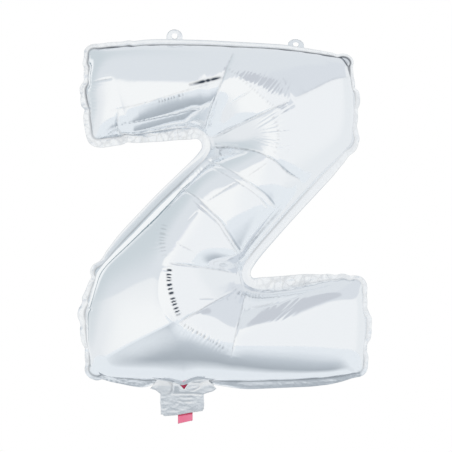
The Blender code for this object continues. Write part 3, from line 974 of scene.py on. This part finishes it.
def valve_material():
    """Thin pink-red plastic film, smooth and a little glossy."""
    material, tree, shader = new_material("valve_red", 0.3)
    place = add_node(tree, "ShaderNodeTexCoord")
    cloud = add_node(tree, "ShaderNodeTexNoise", {"Scale": 120.0, "Detail": 2.0})
    tint = add_node(tree, "ShaderNodeValToRGB")
    for element, colour in zip(tint.color_ramp.elements, VALVE_REDS):
        element.color = (*colour, 1)
    # Painted shadow: the fold attribute here marks where the tail's sheet shades the valve.
    fold = add_node(tree, "ShaderNodeAttribute", attribute_name="fold")
    shade = add_node(tree, "ShaderNodeMix", {"B": (*VALVE_SHADE, 1)}, data_type="RGBA")
    bump = add_node(tree, "ShaderNodeBump", {"Distance": 0.0002})
    join(tree, (place, "Object", cloud, "Vector"), (cloud, "Fac", tint, "Fac"),
         (tint, "Color", shade, "A"), (fold, "Fac", shade, "Factor"),
         (shade, "Result", shader, "Base Color"), (cloud, "Fac", bump, "Height"),
         (bump, "Normal", shader, "Normal"))
    return material


def finish_piece(piece, material, slot, *nodes):
    piece.data.materials.append(material)
    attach(piece, "root")
    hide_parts(*nodes)


def make_films(foil, rim_foil):
    vertices, front, back, rim, rim_start, weld_order = flat_films()
    places = blow_up(vertices, np.vstack([front, back, rim]), rim_start)
    places, rim_shape = fit_to_outline(places, vertices, weld_order)
    flat_loop = vertices[weld_order][:, PLAN]
    weld_distance = line_place(vertices[:, PLAN], flat_loop, closed=True)[0]
    weight = unit((weld_distance - SMOOTH_FROM) / (SMOOTH_FULL - SMOOTH_FROM))
    places = smooth_panels(places, np.vstack([front, back]), weight)
    nearest = [apart.argmin(axis=1) for _, apart in weld_squares(vertices, flat_loop)]
    seam = rim_shape[np.concatenate(nearest), SEAM_COLUMN]
    random = np.random.default_rng(SEED)
    for name, faces, node in (("front_film", front, "front_foil"),
                              ("back_film", back, "back_foil")):
        film = detail_film(*part_mesh(places, faces, weld_distance, seam), random)
        finish_piece(mesh_piece(name, *film), foil, "silver_foil", node)
    rim_piece = mesh_piece("welded_rim", *rim_mesh(places[weld_order], rim_shape, random))
    finish_piece(rim_piece, rim_foil, "silver_rim", "edge_seam")


# The studio, a soft pale grey: white about the camera, grey-blue above and to the left, white
# behind on the left. Each zone is a direction, the angles from it where the zone starts and is
# full, and its brightness; later ones lie over earlier.
Zone = namedtuple("Zone", "direction start full colour")
ZONES = [Zone(*row) for row in (
    ((0, -1, 0), 85, 42, (1, 1, 0.99)),
    ((0.6, -0.8, 0), 55, 20, (0.94, 0.95, 0.96)),
    ((-1, 0.15, 0.15), 60, 25, (0.87, 0.885, 0.9)),
    ((0.3, -0.05, 0.95), 49, 45, (0.76, 0.79, 0.83)),
    ((-0.35, -0.75, 0.55), 19, 10, (0.8, 0.82, 0.87)),
    ((-0.55, -0.05, 0.83), 57, 54, (0.79, 0.82, 0.85)),
    ((0.24, -0.6, 0.76), 14, 10, (0.63, 0.655, 0.7)),
    ((-0.8, 0.25, 0.55), 54, 15, (0.66, 0.715, 0.745)),
    ((-0.83, 0.45, 0.33), 20, 10, (0.95, 0.97, 0.98)),
    ((-0.41, 0.86, 0.31), 36, 35, (0.25, 0.32, 0.36)),
    ((-0.35, 0.9, 0.27), 36, 35, (0.99, 1, 1)),
    ((0.1, 0.75, 0.66), 34, 30, (0.79, 0.82, 0.85)),
    ((0, 1, 0), 26, 20, (1, 1, 1)),
)]
STUDIO_GREY = (0.88, 0.90, 0.915)
FLOOR_DROP = 0.25  # metres from the balloon's lowest point to the floor
FLOOR_RADIUS = 0.85
FLOOR_FORWARD = 0.05
FLOOR_TURN = 18  # degrees by which its shading is turned, darker on the left
FLOOR_TONE = (0.95, 0.96, 0.965)
# The balloon's soft shade on the floor, from its front to its back, and half its width, full and
# faded out, all as parts of the floor's width.
FLOOR_SHADE = ((0.18, (0.94, 0.95, 0.96)), (0.30, (0.79, 0.81, 0.83)), (0.37, (0.62, 0.65, 0.68)),
               (0.47, (0.47, 0.50, 0.53)), (0.535, (0.94, 0.95, 0.96)))
SHADE_FULL = 0.12
SHADE_GONE = 0.22
# painted light: the floor glows a little, in its own colours
FLOOR_GLOW = 0.12


def floor_material():
    """Pale, with the balloon's shadow painted darker in front of it, and a faint glow."""
    material, tree, shader = new_material("floor", 0.8)
    shader.inputs["Emission Strength"].default_value = FLOOR_GLOW
    place = add_node(tree, "ShaderNodeTexCoord")
    parts = add_node(tree, "ShaderNodeSeparateXYZ")
    tint = add_node(tree, "ShaderNodeValToRGB")
    while len(tint.color_ramp.elements) < len(FLOOR_SHADE):
        tint.color_ramp.elements.new(1.0)
    for element, (position, colour) in zip(tint.color_ramp.elements, FLOOR_SHADE):
        element.position = position
        element.color = (*colour, 1)
    aside = add_node(tree, "ShaderNodeMath", {1: 0.5}, operation="SUBTRACT")
    distance = add_node(tree, "ShaderNodeMath", operation="ABSOLUTE")
    fade = add_node(tree, "ShaderNodeMapRange", {"From Min": SHADE_FULL, "From Max": SHADE_GONE},
                    interpolation_type="SMOOTHSTEP")
    mix = add_node(tree, "ShaderNodeMix", {"B": (*FLOOR_TONE, 1)}, data_type="RGBA")
    join(tree, (place, "Generated", parts, 0), (parts, "X", aside, 0), (aside, 0, distance, 0),
         (distance, 0, fade, "Value"), (parts, "Y", tint, "Fac"), (fade, "Result", mix, "Factor"),
         (tint, "Color", mix, "A"), (mix, "Result", shader, "Base Color"),
         (mix, "Result", shader, "Emission Color"))
    return material


def make_stage():
    """A pale floor well below the hanging balloon and a soft white studio around it."""
    low = cad_bounds[0][2]
    bpy.ops.mesh.primitive_circle_add(vertices=96, radius=FLOOR_RADIUS, fill_type="NGON",
                                      location=(0, -FLOOR_FORWARD, low - FLOOR_DROP))
    floor = bpy.context.object
    floor.name = "floor"
    floor.rotation_euler.z = math.radians(FLOOR_TURN)
    floor.data.materials.append(floor_material())
    world = bpy.data.worlds.new("studio")
    bpy.context.scene.world = world
    world.use_nodes = True
    tree = world.node_tree
    place = add_node(tree, "ShaderNodeTexCoord")
    light, output = add_node(tree, "ShaderNodeRGB"), "Color"
    light.outputs[output].default_value = (*STUDIO_GREY, 1)
    for zone in ZONES:
        toward = add_node(tree, "ShaderNodeVectorMath", {1: Vector(zone.direction).normalized()},
                          operation="DOT_PRODUCT")
        limits = {"From Min": math.cos(math.radians(zone.start)),
                  "From Max": math.cos(math.radians(zone.full))}
        spread = add_node(tree, "ShaderNodeMapRange", limits, interpolation_type="SMOOTHSTEP")
        mix = add_node(tree, "ShaderNodeMix", {"B": (*zone.colour, 1)}, data_type="RGBA")
        join(tree, (place, "Generated", toward, 0), (toward, "Value", spread, "Value"),
             (spread, "Result", mix, "Factor"), (light, output, mix, "A"))
        light, output = mix, "Result"
    join(tree, (light, output, tree.nodes["Background"], "Color"))


def make_camera():
    camera = new_object("camera", bpy.data.cameras.new("camera"))
    camera.data.lens = LENS
    camera.data.sensor_width = SENSOR
    camera.data.clip_end = 50.0
    camera.location = (CAMERA_X * MM, -CAMERA_DISTANCE * MM, CAMERA_Z * MM)
    camera.rotation_euler = (math.radians(90), 0, 0)
    bpy.context.scene.camera = camera
    bpy.context.scene.view_settings.view_transform = "Standard"


foil = foil_material("silver_foil", colour=(0.90, 0.92, 0.94), roughness=0.08,
                     grain_scale=60.0, grain_depth=0.0001)
rim_foil = foil_material("silver_rim", colour=(0.89, 0.91, 0.93), roughness=0.22,
                         grain_scale=300.0, grain_depth=0.0002)
tail_foil = foil_material("silver_tail", colour=(0.83, 0.845, 0.86), roughness=0.30,
                          grain_scale=300.0, grain_depth=0.0002)
make_films(foil, rim_foil)
make_tabs(rim_foil)
make_tail(tail_foil)
make_valve(valve_material())
make_stage()
make_camera()
